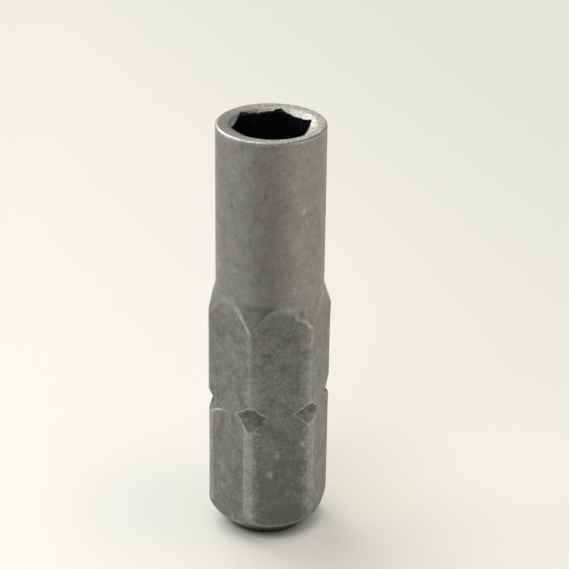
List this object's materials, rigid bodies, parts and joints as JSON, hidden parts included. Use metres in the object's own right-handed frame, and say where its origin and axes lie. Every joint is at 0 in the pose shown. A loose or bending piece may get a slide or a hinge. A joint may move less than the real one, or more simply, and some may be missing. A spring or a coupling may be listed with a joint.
{
  "type": "screwdriver bit adapter",
  "caption": "Steel adapter with a notched hex shank, a conical shoulder and a round sleeve whose magnetic hex socket holds a smaller screwdriver bit.",
  "frame": {"origin": "centre of the shank's flat end face, on the adapter's axis", "axes": "+Z along the axis from the shank to the socket's mouth, +X through a corner of the hex shank"},
  "size_m": [0.007, 0.0064, 0.025],
  "materials": {
    "tumbled_steel": "satin",
    "nickel_plate": "polished",
    "cured_resin": "satin"
  },
  "bodies": {
    "root": {"adapter_body": "tumbled_steel", "bit_magnet": "nickel_plate", "magnet_adhesive": "cured_resin"}
  },
  "joints": []
}
